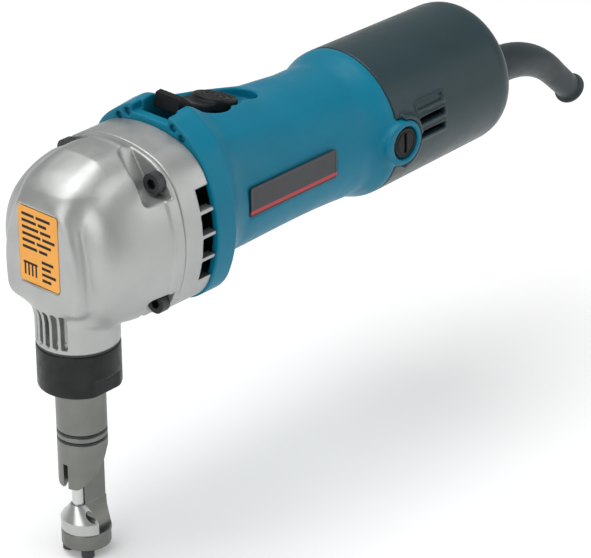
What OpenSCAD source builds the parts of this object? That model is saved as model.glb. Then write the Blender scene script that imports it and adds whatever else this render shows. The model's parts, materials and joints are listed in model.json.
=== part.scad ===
// Electric punch nibbler for sheet metal. The origin is on the punch line at the lock nut's lower
// face; +X runs back along the motor to the cord, and +Z points up, away from the work.

/* [Tool] */
// Height of the motor axis above the lock nut's lower face
axis_z = 62; // [60:1:64]
// Punch stroke, twice the crank's throw
stroke = 6; // [5:0.5:6]

/* [Die holder] */
// Radius of the die holder's shank
shank_r = 10.7; // [10.5:0.1:10.8]
// Radius of the punch
punch_r = 2.4; // [2:0.1:2.6]
// Distance of the punch in front of the shank's axis
punch_offset = 4.1; // [3.8:0.1:4.2]
// Width of the spine that follows the cut through the sheet
spine_w = 4; // [3:0.1:4.4]
// Level of the nose, the stripper face above the sheet
nose_z = -47; // [-48:0.5:-46]
// Level of the die's cutting edge
die_z = -57; // [-58:0.5:-56]
// Level of the underside of the die holder's foot
foot_z = -76.5; // [-78:0.5:-76]

/* [Neck] */
// Radius of the neck and of the lock nut
neck_r = 17.75; // [17:0.25:18]
// Height of the lock nut
nut_h = 19.6; // [19:0.1:20]

/* [Gear housing] */
// Front face of the gear housing
front_x = -20; // [-21:0.5:-19.5]
// Joint between the gear housing and its cover
seam_x = 27; // [26.6:0.1:27.4]
// Joint between the cover and the motor housing
flange_x = 45; // [44.5:0.5:46]
// Width of the gear housing across its bulging sides
drum_w = 74.8; // [74:0.2:76]
// Height of the gear housing
drum_h = 76; // [75.6:0.2:77]
// Height of the gear housing's centre
drum_z = 63.4; // [63:0.2:63.8]
// Width of the front boss
boss_w = 43.4; // [42:0.2:44]

/* [Motor housing] */
// Joint between the motor housing and the rear cover
cover_x = 161; // [160.8:0.1:161.4]
// Radius of the grip at its waist
grip_r = 30; // [29.8:0.1:30.4]
// Distance of the carbon brushes behind the punch line
brush_x = 164; // [163.8:0.1:164.6]
// Radius of the armature core
armature_r = 15.4; // [15:0.1:15.5]

/* [Rear cover] */
// Rear end of the cover
rear_x = 242; // [241:0.5:244]
// Radius of the cover at its joint
cover_r = 33.6; // [33.4:0.1:34.2]
// Wall of the plastic housings
shell = 2.6; // [2.4:0.1:2.8]

/* [Cord guard] */
// Height of the guard where it leaves the rear cover
guard_z = 54.5; // [53:0.5:56]
// Start of the guard's bend
guard_bend_x = 266; // [262:1:270]
// Radius of the bend
guard_bend_r = 55; // [50:1:60]
// Angle of the bend
guard_bend = 44; // [40:1:48]
// Straight end of the guard after the bend
guard_tip = 20; // [17:1:22]
// Radius of the cord's bore
cord_r = 3.8; // [3.5:0.1:4]

/* [Gears] */
// Tooth size of all four gears
gear_module = 0.9; // [0.88:0.01:0.91]

/* [Switch] */
// Travel of the slide switch
switch_travel = 5; // [3:0.5:5]

/* [Hidden] */
$fn = 72;
eps = 0.02;
run = 0.05;                         // running clearance on a radius
throw_r = stroke / 2;

// gear train: armature pinion to lay gear, lay pinion to crank gear
pinion_n = 9;
lay_n = 33;
lay_pinion_n = 10;
crank_n = 32;
pressure = 25;
lay_dir = 90;                       // the lay shaft stands straight above the motor axis
centre_d = gear_module * (pinion_n + lay_n) / 2;
lay_y = centre_d * cos(lay_dir);
lay_z = axis_z + centre_d * sin(lay_dir);
gear_x = 14.5;                      // front face of the crank gear
gear_w = 5.5;
lay_gear_x = 21.6;
lay_gear_w = 6;
crank_bearing_r = 12.4;
bush_r = 4.6;
motor_bearing_r = 12;

// bearings and plates along the motor axis
plate_x = 6.5;
plate_t = 7;
rear_plate_x = 29;
rear_plate_t = 7.5;
lay_end_x = rear_plate_x + rear_plate_t - 0.4;
rod_t = 8.4;
ecc_r = 8.5;
rod_eye_r = 10.5;
rod_end_r = 13.5;
wrist_r = 2.5;
wrist_z = 37.3;
// the rod's lower eye is a window that clears the wrist pin wherever the crank and the ram stand
window_w = 2 * wrist_r + stroke + 0.8;
window_h = 2 * wrist_r + 2 * stroke + 0.8;
window_side = 2.8;
window_foot = 2;

// ram, punch holder and shank
ram_r = 8;
ram_bottom = 8.8;
ram_slot_z = wrist_z - window_h / 2 - window_foot - stroke - 0.3;
ram_top = 41;
bore_r = 7;
holder_r = bore_r - run;
punch_tip = die_z - 2.4;
punch_screw_z = -24;
pin_x = 4.3;                        // retaining pins that hold the punch in the ram
pin_z = 15;
nose_bore_z = -34;
flange_r = 13;
flange_top = 6.2;
ring_levels = [-21.7, -25.2];
bolt_r = 1.5;
bolt_head_h = 3.7;
bolt_x = -4.9;
bolt_y = 5.6;

// armature
core_x = 80;
core_l = 46;
fan_x = 49;
field_r = 25.8;
rear_bearing_x = 178;
rear_journal_r = 3.5;

// four long screws in pockets at the corners of the gear housing
screw_y = 25;
screw_z = 27;
screw_r = 2.5;
screw_head_h = 4.2;
screw_seat_x = 24.6;
pocket_r = 6.5;
side_r = 57;                        // bulge of the gear housing's sides and of its top and bottom
top_r = 62;
corner_r = 41;
drum_wall = 4.6;
flange_t = 10.9;
fan_room = 54;                      // rear end of the fan's square chamber
pilot_r = 14.4;
tail_r = cover_r - shell - 2;
body_z = axis_z + 0.5;              // middle of the outer shells
plate_screw_y = 26.5;
plate_rear_x = 126;                 // rear end of the name plate
pad_x = 83.5;                       // centre of the switch's round pad
vent_w = 2.8;
vent_pitch = 14;
label_w = 23;
label_h = 34;
label_z = 68;

module on_x(x, y = 0, z = axis_z) {
    // local X, Y and Z become +Y, +Z and +X
    translate([x, y, z]) rotate([90, 0, 90]) children();
}

module rod_x(x, l, r, y = 0, z = axis_z) {
    on_x(x, y, z) cylinder(h = l, r = r);
}

module tube_x(x, l, r_out, r_in, y = 0, z = axis_z) {
    on_x(x, y, z) difference() {
        cylinder(h = l, r = r_out);
        translate([0, 0, -1]) cylinder(h = l + 2, r = r_in);
    }
}

module disc(z, h, r) {
    translate([0, 0, z]) cylinder(h = h, r = r);
}

// rounded rectangle with true arcs
module round_rect(w, h, r) {
    square([w - 2 * r, h], center = true);
    square([w, h - 2 * r], center = true);
    for (sx = [-1, 1], sy = [-1, 1]) translate([sx * (w / 2 - r), sy * (h / 2 - r)]) circle(r);
}

module slab(x, t, w, h, r, z = drum_z) {
    on_x(x, 0, z) linear_extrude(t) round_rect(w, h, r);
}

module both_sides() {
    children();
    mirror([0, 1, 0]) children();
}

module at_screws() {
    for (sy = [-1, 1], sz = [-1, 1]) translate([0, sy * screw_y, drum_z + sz * screw_z]) children();
}

module crowned(x, t, inset = 0) {
    // square with bulging sides, the outline of the gear housing
    on_x(x, 0, drum_z) linear_extrude(t) intersection() {
        circle(corner_r - inset);
        translate([side_r - drum_w / 2, 0]) circle(side_r - inset);
        translate([drum_w / 2 - side_r, 0]) circle(side_r - inset);
        translate([0, top_r - drum_h / 2]) circle(top_r - inset);
        translate([0, drum_h / 2 - top_r]) circle(top_r - inset);
    }
}

module pocket_corners(grow = 0) {
    // outline of the four screw pockets, open towards the corners; the upper two have slanted walls
    for (sy = [0, 1]) mirror([sy, 0]) translate([-grow, -grow]) polygon([
        [8.5, 38.8], [17.9, 24.8], [18.6, 22.9], [19.9, 21.8], [21.5, 21.5], [50, 21.5], [50, 50], [8.5, 50]
    ]);
    for (sy = [-1, 1]) translate([sy * screw_y, -screw_z]) {
        circle(pocket_r + grow);
        translate([sy > 0 ? -pocket_r - grow : -25, -25]) square([25 + pocket_r + grow, 25]);
        translate([sy > 0 ? 0 : -25, -25]) square([25, 25 + pocket_r + grow]);
    }
}

module pocket_prisms(x, t, grow = 0) {
    on_x(x, 0, drum_z) linear_extrude(t) pocket_corners(grow);
}

module cap_screw(x, l, r, head_r, head_h) {
    on_x(x, 0, 0) difference() {
        union() {
            cylinder(h = head_h, r = head_r, $fn = 32);
            translate([0, 0, head_h]) cylinder(h = l, r = r, $fn = 32);
        }
        translate([0, 0, -1]) cylinder(h = head_h * 0.55 + 1, r = head_r * 0.55, $fn = 6);
    }
}

// ---- gears ----
function inv_a(r, base_r) = let (c = base_r / r) tan(acos(c)) - acos(c) * PI / 180;

function flank(n, steps = 5) =
    let (p = gear_module * n / 2, b = p * cos(pressure), tip = p + 0.8 * gear_module,
         low = max(b, p - 1.1 * gear_module),
         half = (PI * gear_module / 2 - 0.1) / (2 * p) + inv_a(p, b))
    [for (i = [0 : steps - 1]) let (r = low + (tip - low) * i / (steps - 1))
        [r, (half - inv_a(r, b)) * 180 / PI]];

function tooth(n) =
    let (f = flank(n), root = gear_module * n / 2 - 1.1 * gear_module, a = min(f[0][1] + 1.2, 90 / n + 1))
    concat([[root, -a]], [for (q = f) [q[0], -q[1]]],
           [for (i = [len(f) - 1 : -1 : 0]) f[i]], [[root, a]]);

module gear_outline(n, phase) {
    polygon([for (k = [0 : n - 1], q = tooth(n))
        let (a = phase + k * 360 / n + q[1]) [q[0] * cos(a), q[0] * sin(a)]]);
}

// ---- gear housing and its cover ----
module drum_outer() {
    // raised rim at the joint, then a body that tapers to the front
    crowned(seam_x - 6.3, 6.3);
    hull() {
        crowned(seam_x - 6.5, 0.2, 0.8, $fn = 96);
        crowned(11, 0.2, 2, $fn = 96);
        crowned(-2, 0.2, 4, $fn = 96);
        slab(-9, 0.2, drum_w - 19, drum_h - 19, 19, $fn = 40);
        slab(-14, 0.2, drum_w - 34, drum_h - 34, 15, $fn = 40);
    }
}

// right half of the boss's front face, from its foot up
boss_half = [[14, 44.5], [19, 49], [19.2, 61], [15.5, 72], [11.5, 80], [10.5, 87], [7.5, 90.5]];

module boss_slice(x, grow, rise) {
    half = [for (p = boss_half) [p[0] + grow, p[1] + rise * (p[1] - 60) / 30]];
    back = [for (i = [len(half) - 1 : -1 : 0]) [-half[i][0], half[i][1]]];
    on_x(x, 0, 0) linear_extrude(0.2) polygon(concat(half, back));
}

module front_boss() {
    hull() {
        boss_slice(front_x, 0, 0);
        boss_slice(front_x + 3, boss_w / 2 - 19.2, 3);
        boss_slice(0, boss_w / 2 - 19.2, 9);
        disc(33, 1, neck_r, $fn = 40);
    }
}

module neck_vents() {
    // five slots round the front of the neck
    for (k = [-2 : 2]) rotate([0, 0, 180 + k * vent_pitch])
        translate([neck_r - 3.2, -vent_w / 2, 22.4]) cube([12, vent_w, 15.6]);
}

module gear_housing() {
    color([0.72, 0.72, 0.70]) difference() {
        union() {
            drum_outer();
            front_boss();
            disc(nut_h + 0.9, 26, neck_r);
            disc(flange_top + 0.5, 20, pilot_r);
        }
        // gear chamber round the pockets and room for the rod
        difference() {
            union() {
                crowned(plate_x, seam_x - plate_x + 1, drum_wall);
                slab(-3, 12, 52, 54, 15);
            }
            pocket_prisms(-10, 50, 2);
        }
        rod_x(-15, 20, rod_end_r + throw_r + 1.9);
        disc(23.5, 40, 13.4);
        // bush bore of the ram and pilot bore of the shank
        disc(0, 30, 10.5);
        at_screws() rod_x(-20, 60, screw_r + 0.15, 0, 0);
        pocket_prisms(front_x - 1, screw_seat_x - front_x + 1);
        neck_vents();
        on_x(front_x - 0.2, 0, label_z) linear_extrude(1) round_rect(label_w + 0.4, label_h + 0.4, 2);
    }
    // front bearing's seat, a ring inside the front wall
    color([0.72, 0.72, 0.70]) tube_x(-15 - eps, 7.5, 11, 8);
}

module front_label() {
    color([0.93, 0.62, 0.16]) on_x(front_x + 0.1, 0, label_z) linear_extrude(0.68)
        round_rect(label_w, label_h, 1.8);
}

module gear_housing_cover() {
    color([0.70, 0.70, 0.68]) difference() {
        crowned(seam_x + 0.1, flange_x - seam_x - 0.2);
        crowned(seam_x - 1, rear_plate_x - seam_x + 1, drum_wall);
        crowned(rear_plate_x + rear_plate_t, 20, drum_wall);
        rod_x(20, 30, motor_bearing_r + eps);
        rod_x(20, 30, bush_r + eps, lay_y, lay_z);
        at_screws() rod_x(20, 30, screw_r + 0.15, 0, 0);
        // four exhaust windows on each side, parted by thin ribs
        for (k = [0 : 3]) translate([37, -50, 43.6 + k * 10.6]) cube([9, 100, 8.9]);
    }
}

module bearing_plate() {
    color([0.62, 0.62, 0.60]) difference() {
        crowned(plate_x + 0.05, plate_t - 0.1, drum_wall + 0.2);
        pocket_prisms(0, 20, 2.2);
        rod_x(0, 30, crank_bearing_r + eps);
        rod_x(0, 30, bush_r + eps, lay_y, lay_z);
        for (sy = [-1, 1]) rod_x(0, 30, 2.2, sy * plate_screw_y, axis_z - 4);
        // room for the top of the ram
        disc(20, ram_top + stroke + 1 - 20, ram_r + 0.4);
    }
}

module plate_screws() {
    color([0.25, 0.25, 0.25]) for (sy = [-1, 1])
        translate([plate_x + plate_t + 2.6, sy * plate_screw_y, axis_z - 4]) mirror([1, 0, 0])
            cap_screw(0, 7, 2, 3.6, 2.5);
}

module housing_screws() {
    color([0.12, 0.12, 0.12]) at_screws()
        cap_screw(screw_seat_x - screw_head_h - 0.05, 30, screw_r, 4.6, screw_head_h);
}

module neck_seal() {
    color([0.05, 0.05, 0.05]) difference() {
        disc(nut_h + 0.05, 0.8, neck_r - 0.25);
        disc(nut_h - 1, 3, pilot_r + run);
    }
}

module ram_guide() {
    color([0.72, 0.55, 0.28]) difference() {
        disc(10.4, 12.9, 10.46);
        disc(0, 40, ram_r + run);
    }
}

module crank_bearings() {
    color([0.6, 0.62, 0.65]) {
        tube_x(plate_x + 0.1, plate_t - 0.2, crank_bearing_r, 7.52);
        tube_x(-14.7, 7, 7.98, 5.03);
    }
}

module lay_shaft_bushes() {
    color([0.72, 0.55, 0.28]) {
        tube_x(plate_x + 0.2, plate_t - 0.4, bush_r, 3 + run, lay_y, lay_z);
        tube_x(rear_plate_x + 0.3, rear_plate_t - 0.6, bush_r, 3 + run, lay_y, lay_z);
    }
}

module motor_bearings() {
    color([0.6, 0.62, 0.65]) {
        tube_x(rear_plate_x, rear_plate_t - 0.2, motor_bearing_r, 5.02);
        tube_x(rear_bearing_x, 6, 9.48, rear_journal_r + eps);
    }
}

// ---- motor housing ----
module motor_outer() {
    crowned(flange_x + 0.1, flange_t, -1);
    on_x(0, 0, body_z) rotate_extrude() polygon([
        [0, 54], [37.8, 54], [37.2, 57], [35, 62], [32.6, 67], [30.6, 73], [grip_r, 79], [grip_r, 144],
        [grip_r + 0.6, 149], [cover_r - 1.5, 154], [cover_r - 0.3, 158], [cover_r, cover_x], [0, cover_x]
    ]);
    // deck that carries the switch, from the two ears down to the waist
    hull() {
        on_x(flange_x + 0.1, 0, 0) linear_extrude(flange_t) polygon([
            [-30, 90], [-29.5, 96.5], [-15.5, 106.4], [-11, 108.4], [11, 108.4], [15.5, 106.4], [29.5, 96.5],
            [30, 90]
        ]);
        translate([105, -9, 80]) cube([3, 18, 10.8]);
    }
    both_sides() at_brush() disc(20, 15.6, 10);
}

module at_brush() {
    // local Z points out along -Y on the brushes' axis
    translate([brush_x, 0, axis_z]) rotate([90, 0, 0]) children();
}

module switch_openings() {
    // slot for the lever, the pad's recess, the gap in front of it and the way down to the rod
    translate([49.6, -9.5, 88]) cube([30, 19, 40]);
    translate([60, -8, 92]) cube([46, 16, 30]);
    translate([flange_x - 1, -10.5, 103.6]) cube([6, 21, 10]);
    translate([pad_x, 0, 92]) cylinder(h = 30, r = 11);
    translate([pad_x - 9 - switch_travel, -3.8, 84]) cube([14.5 + switch_travel, 7.6, 10]);
    // slot for the switch rod through the top of the tail
    translate([60, -4.5, axis_z + 24.5]) cube([150, 9, 3.6]);
}

module motor_hollow() {
    // fan chamber, motor bore and the flare behind it
    crowned(flange_x - 1, fan_room - flange_x + 1, 2.8);
    on_x(0) rotate_extrude() polygon([
        [0, fan_room - 1], [33.5, fan_room - 1], [33.5, 58.5], [31.7, 64.8], [29, 71], [grip_r - shell, 78],
        [grip_r - shell, 134], [tail_r - 1.2, 146], [tail_r - 1.2, cover_x + 1], [0, cover_x + 1]
    ]);
}

module motor_housing() {
    color([0.05, 0.44, 0.58]) difference() {
        union() {
            difference() {
                motor_outer();
                motor_hollow();
                for (sy = [-1, 1]) {
                    rod_x(40, 12, 1.9, sy * 13.1, 103.2);
                    rod_x(40, 12, 1.9, sy * 18, 99.9);
                }
                translate([plate_rear_x - 56, -31.2, 56.2]) cube([60, 2.3, 16.6]);
            }
            // tail inside the rear cover with the rear bearing's seat
            tube_x(cover_x - 6, 34, tail_r, tail_r - 2.1);
            tube_x(rear_bearing_x - 2, 11, tail_r - 0.5, 9.5);
            // bosses for the long screws
            at_screws() tube_x(flange_x + 0.1, flange_t, 4.6, screw_r, 0, 0);
            // pads that hold the field core
            for (a = [45 : 90 : 315]) on_x(core_x) rotate([0, 0, a]) translate([field_r + 0.1, -4, 0])
                cube([2, 8, core_l]);
            both_sides() at_brush() disc(24, 6, 9.8);
        }
        at_screws() rod_x(40, 15.5, screw_r, 0, 0);
        both_sides() at_brush() {
            disc(10, 40, 6.2);
            disc(32.5, 5, 7.2);
        }
        // cooling air passes the rear bearing
        for (a = [30 : 60 : 330]) on_x(174) rotate([0, 0, a]) translate([20, 0, 0]) cylinder(h = 15, r = 6);
        switch_openings();
    }
}

module name_plate() {
    color([0.16, 0.17, 0.20]) translate([plate_rear_x - 53, -30.1, 57.6]) cube([53, 1, 13.4]);
}

module rear_cover() {
    color([0.13, 0.17, 0.19]) difference() {
        on_x(0, 0, body_z) rotate_extrude() polygon([
            [0, cover_x + 0.3], [cover_r, cover_x + 0.3], [cover_r - 1.4, rear_x - 10],
            [cover_r - 2.8, rear_x - 5], [cover_r - 5.5, rear_x - 1.8], [cover_r - 9, rear_x], [0, rear_x]
        ]);
        on_x(0, 0, body_z) rotate_extrude() polygon([
            [0, cover_x], [cover_r - shell - 0.4, cover_x], [cover_r - shell - 1.6, rear_x - 10],
            [cover_r - 10, rear_x - 3.4], [0, rear_x - 3.4]
        ]);
        // half-round notches beside the brush bosses
        both_sides() at_brush() disc(24, 20, 10.3);
        both_sides() translate([cover_x - 1, -45, axis_z - 10.3]) cube([brush_x - cover_x + 1, 20, 20.6]);
        // three intake slots on each side
        both_sides() for (k = [0 : 2]) translate([175.5, -45, 59.2 + k * 6.5]) cube([16.5, 20, 3]);
        // mouth of the cord guard and two screw holes
        rod_x(rear_x - 10, 20, 8.7, 0, guard_z);
        for (sy = [-1, 1]) rod_x(rear_x - 10, 20, 2.1, sy * 14, 77);
    }
}

module rear_cover_screws() {
    color([0.1, 0.1, 0.1]) for (sy = [-1, 1])
        translate([rear_x + 2.3, sy * 14, 77]) mirror([1, 0, 0]) cap_screw(0, 12, 1.9, 3.4, 2.2);
}

module fan_baffle() {
    color([0.1, 0.1, 0.1]) difference() {
        rod_x(62.2, 2.4, 31.2);
        rod_x(60, 6, 22);
        translate([60, -5, axis_z + 24]) cube([6, 10, 10]);
    }
}

// ---- motor ----
module field_core() {
    color([0.45, 0.46, 0.48]) difference() {
        rod_x(core_x, core_l, field_r);
        rod_x(core_x - 1, core_l + 2, 16);
        // flats at the top and bottom and the slots of the two coils
        for (s = [-1, 1]) translate([core_x - 1, -30, axis_z + s * 28.6 - 5]) cube([core_l + 2, 60, 10]);
        for (a = [45 : 90 : 315]) on_x(core_x - 1) rotate([0, 0, a]) translate([15, -2.6, 0])
            cube([5.6, 5.2, core_l + 2]);
    }
}

module field_coils() {
    // two saddle coils: four bars in the slots joined by arcs at the ends
    color([0.62, 0.30, 0.12]) for (s = [-1, 1]) {
        for (a = [-45, 45]) on_x(core_x - 1.5) rotate([0, 0, (s > 0 ? 0 : 180) + a])
            translate([16.6, -2.1, 0]) cube([3.6, 4.2, core_l + 3]);
        for (x = [core_x - 7, core_x + core_l + 1]) on_x(x) rotate([0, 0, (s > 0 ? 0 : 180) - 49])
            rotate_extrude(angle = 98) translate([16.4, 0]) square([6.4, 6]);
    }
}

module armature_shaft() {
    color([0.62, 0.63, 0.66]) {
        on_x(lay_gear_x - 0.3) linear_extrude(6.8) gear_outline(pinion_n, lay_dir);
        rod_x(lay_gear_x + 6.4, rear_plate_x - lay_gear_x - 6.3, 3.6);
        rod_x(rear_plate_x - 0.1, 12, 5);
        rod_x(rear_plate_x + 11.8, rear_bearing_x - rear_plate_x - 12, 4.6);
        rod_x(rear_bearing_x - 0.3, 7, rear_journal_r);
    }
}

module armature_core() {
    color([0.42, 0.43, 0.46]) difference() {
        rod_x(core_x, core_l, armature_r);
        rod_x(core_x - 1, core_l + 2, 4.6);
        for (a = [0 : 30 : 330]) on_x(core_x - 1) rotate([0, 0, a]) translate([9.5, -1.2, 0])
            cube([7, 2.4, core_l + 2]);
    }
}

module armature_winding() {
    color([0.66, 0.34, 0.14]) {
        on_x(core_x - 7) rotate_extrude() polygon([[4.6, 0], [9, 0], [13, 3], [13.6, 7], [4.6, 7]]);
        on_x(core_x + core_l) rotate_extrude() polygon([[4.6, 0], [13.6, 0], [13, 4], [9.5, 8], [4.6, 8]]);
        for (a = [0 : 30 : 330]) on_x(core_x - 0.1) rotate([0, 0, a]) translate([9.8, -0.95, 0])
            cube([4.4, 1.9, core_l + 0.2]);
    }
}

module commutator() {
    color([0.72, 0.42, 0.22]) difference() {
        rod_x(brush_x - 8.5, 17, 11);
        rod_x(brush_x - 10, 20, 4.6);
        for (a = [0 : 15 : 345]) on_x(brush_x - 10) rotate([0, 0, a]) translate([9.6, -0.25, 0])
            cube([2, 0.5, 17]);
    }
}

module cooling_fan() {
    color([0.08, 0.08, 0.08]) difference() {
        union() {
            rod_x(fan_x, 1.8, 31);
            rod_x(fan_x, 9, 9);
            for (a = [0 : 36 : 324]) on_x(fan_x) rotate([0, 0, a]) translate([13, 0, 0]) rotate([0, 0, 24])
                translate([0, -0.8, 0]) cube([17.2, 1.6, 9]);
        }
        rod_x(fan_x - 1, 12, 4.6);
    }
}

module brush_holders() {
    color([0.75, 0.6, 0.3]) both_sides() at_brush() difference() {
        disc(12.6, 19.6, 6.15);
        translate([-3.1, -4.1, 10]) cube([6.2, 8.2, 30]);
    }
}

module carbon_brushes() {
    color([0.1, 0.1, 0.1]) both_sides() translate([brush_x - 3, -25, axis_z - 4]) cube([6, 13.9, 8]);
}

module brush_springs() {
    color([0.7, 0.7, 0.72]) both_sides() at_brush() {
        // closely pitched coils, drawn as rings on a thin core
        for (k = [0 : 2]) translate([0, 0, 25.6 + k * 2]) rotate_extrude()
            translate([2.2, 0]) circle(0.5, $fn = 16);
        disc(25.1, 6.4, 1.75, $fn = 24);
    }
}

module brush_caps() {
    color([0.07, 0.07, 0.07]) both_sides() at_brush() difference() {
        disc(32.6, 2.5, 7);
        translate([-0.7, -4.8, 33.8]) cube([1.4, 9.6, 3]);
    }
}

// ---- switch and mains parts ----
module switch_unit() {
    color([0.14, 0.14, 0.15]) difference() {
        translate([193, -9, 70]) cube([26, 18, 17]);
        translate([192, -4.5, 80]) cube([7, 9, 8]);
    }
}

module switch_spring_clip() {
    color([0.6, 0.6, 0.62]) translate([200, -10.2, 69]) difference() {
        cube([12, 20.4, 19.2]);
        translate([-1, 1.1, -1]) cube([14, 18.2, 19.2]);
    }
}

module capacitor() {
    color([0.85, 0.70, 0.25]) translate([196, -11, 40]) cube([22, 22, 11]);
}

module cord_clamp() {
    color([0.15, 0.15, 0.16]) translate([212, -11, guard_z + 4.6]) difference() {
        cube([8, 22, 5]);
        for (sy = [-1, 1]) translate([4, 11 + sy * 8, -1]) cylinder(h = 8, r = 1.7);
    }
}

module cord_clamp_screws() {
    color([0.6, 0.6, 0.62]) for (sy = [-1, 1]) translate([216, sy * 8, guard_z + 1]) {
        cylinder(h = 8.8, r = 1.65);
        translate([0, 0, 8.7]) cylinder(h = 1.6, r = 2.8);
    }
}

module guard_arc(from, angle, r) {
    // stretch of the bend; angles count from the rear cover's end
    translate([guard_bend_x, 0, -guard_bend_r]) rotate([90, 0, 0]) rotate([0, 0, 90 - from - angle])
        rotate_extrude(angle = angle) translate([guard_bend_r, 0]) circle(r);
}

module at_guard_mouth() {
    translate([guard_bend_x, 0, -guard_bend_r]) rotate([0, guard_bend, 0]) translate([0, 0, guard_bend_r])
        children();
}

module cord_guard() {
    step = guard_bend / 4;
    color([0.09, 0.11, 0.12]) translate([0, 0, guard_z]) difference() {
        union() {
            rod_x(228, guard_bend_x - 227.7, 8.5, 0, 0);
            rod_x(231, 3.5, 11.5, 0, 0);
            // the bend gets thinner towards the mouth in four steps
            for (k = [0 : 3]) guard_arc(max(k * step - 0.6, 0), step + min(k, 1) * 0.6, 8.2 - k * 0.6);
            at_guard_mouth() {
                rod_x(-0.2, guard_tip + 0.2, 6, 0, 0);
                rod_x(guard_tip - 2, 2, 7.4, 0, 0);
            }
        }
        rod_x(220, guard_bend_x - 219.8, cord_r, 0, 0);
        guard_arc(0, guard_bend, cord_r + 0.4);
        at_guard_mouth() rod_x(-0.2, guard_tip + 1, cord_r, 0, 0);
    }
}

module switch_lever() {
    color([0.07, 0.07, 0.07]) {
        // lever with its raised front lip, and the round pad behind it
        rotate([90, 0, 0]) linear_extrude(14.4, center = true) polygon([
            [55, 104.4], [56, 110.5], [58.5, 110.8], [63, 106.5], [71, 103.2], [79, 102], [79, 97.2],
            [60, 100.5]
        ]);
        translate([pad_x, 0, 94.6]) cylinder(h = 6.6, r = 9.4);
        translate([76, -3, 88.6]) cube([12, 6, 6.2]);
    }
}

module switch_rod() {
    color([0.5, 0.51, 0.53]) {
        translate([78, -2.6, 86.9]) cube([8, 5.2, 1.5]);
        translate([78, -3.4, 86.9]) cube([110, 6.8, 0.9]);
        translate([184, -3.4, 83.6]) cube([9, 6.8, 3.5]);
    }
}

// ---- lay shaft, crank and connecting rod ----
module lay_shaft() {
    color([0.6, 0.61, 0.64]) {
        rod_x(plate_x + 0.3, gear_x - plate_x - 0.2, 3, lay_y, lay_z);
        on_x(gear_x, lay_y, lay_z) linear_extrude(gear_w + 0.6) gear_outline(lay_pinion_n, lay_dir + 180);
        rod_x(gear_x + gear_w + 0.5, lay_gear_w + 1.5, 4, lay_y, lay_z);
        rod_x(lay_gear_x + lay_gear_w, lay_end_x - lay_gear_x - lay_gear_w, 3, lay_y, lay_z);
    }
}

module lay_gear() {
    color([0.50, 0.51, 0.54]) difference() {
        on_x(lay_gear_x, lay_y, lay_z) linear_extrude(lay_gear_w)
            gear_outline(lay_n, lay_dir + 180 + 180 / lay_n);
        rod_x(lay_gear_x - 1, lay_gear_w + 2, 4, lay_y, lay_z);
    }
}

module crank_shaft() {
    color([0.58, 0.59, 0.62]) {
        rod_x(-14.7, 9, 5);
        rod_x(-5.8, 11.6, ecc_r, 0, axis_z - throw_r);
        rod_x(5.7, plate_x + plate_t - 5.5, 7.5);
        rod_x(plate_x + plate_t + 0.1, gear_w + 1.6, 5.5);
    }
}

module crank_gear() {
    color([0.50, 0.51, 0.54]) difference() {
        on_x(gear_x) linear_extrude(gear_w) gear_outline(crank_n, lay_dir + 180 / crank_n);
        rod_x(gear_x - 1, gear_w + 2, 5.5);
    }
}

module gear_clip() {
    color([0.3, 0.3, 0.32]) tube_x(gear_x + gear_w + 0.05, 0.6, 7.2, 5.5);
}

module connecting_rod() {
    color([0.55, 0.56, 0.58]) translate([-rod_t / 2, 0, 0]) difference() {
        union() {
            rod_x(0, rod_t, rod_end_r, 0, axis_z - throw_r);
            on_x(1, 0, wrist_z) linear_extrude(rod_t - 2)
                round_rect(window_w + 2 * window_side, window_h + 2 * window_foot, 5);
            translate([1, -7, wrist_z + window_h / 2]) cube([rod_t - 2, 14, 6]);
        }
        rod_x(-1, rod_t + 2, rod_eye_r, 0, axis_z - throw_r);
        on_x(-1, 0, wrist_z) linear_extrude(rod_t + 2) round_rect(window_w, window_h, 4);
    }
}

module rod_bearing() {
    color([0.65, 0.66, 0.68])
        tube_x(-rod_t / 2 + 0.3, rod_t - 0.6, rod_eye_r, ecc_r + run, 0, axis_z - throw_r);
}

// ---- ram and punch ----
module ram() {
    color([0.60, 0.61, 0.63]) difference() {
        disc(ram_bottom, ram_top - ram_bottom, ram_r);
        // slot for the connecting rod, wrist pin hole, socket for the punch holder
        translate([-4.6, -10, ram_slot_z]) cube([9.2, 20, 30]);
        rod_x(-10, 20, wrist_r, 0, wrist_z);
        disc(0, 20, 4.55);
        for (sx = [-1, 1]) translate([sx * pin_x, 0, pin_z]) rotate([90, 0, 0]) translate([0, 0, -10])
            cylinder(h = 20, r = 1, $fn = 32);
    }
}

module wrist_pin() {
    color([0.7, 0.7, 0.72]) rod_x(-7.4, 14.8, wrist_r, 0, wrist_z);
}

module retaining_pins() {
    color([0.7, 0.7, 0.72]) for (sx = [-1, 1]) translate([sx * pin_x, 0, pin_z]) rotate([90, 0, 0])
        translate([0, 0, -5.6]) cylinder(h = 11.2, r = 0.98, $fn = 32);
}

module punch_holder() {
    color([0.52, 0.53, 0.55]) difference() {
        union() {
            disc(-31.5, 39.8, holder_r);
            disc(8.2, 11.2, 4.5);
        }
        // groove that the two pins run in, punch socket and its set screw hole
        difference() {
            disc(pin_z - 1.1, 2.2, 6);
            disc(pin_z - 2, 4, pin_x - 1.05);
        }
        translate([-punch_offset, 0, -35]) cylinder(h = 25, r = punch_r);
        translate([-punch_offset, 0, punch_screw_z]) rotate([0, 90, 0]) cylinder(h = 12, r = 1.6);
    }
}

module punch() {
    color([0.82, 0.82, 0.84]) translate([-punch_offset, 0, punch_tip]) difference() {
        cylinder(h = -10.2 - punch_tip, r = punch_r);
        translate([1.3, -4, punch_screw_z - punch_tip - 2.2]) cube([3, 8, 4.4]);
    }
}

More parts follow.
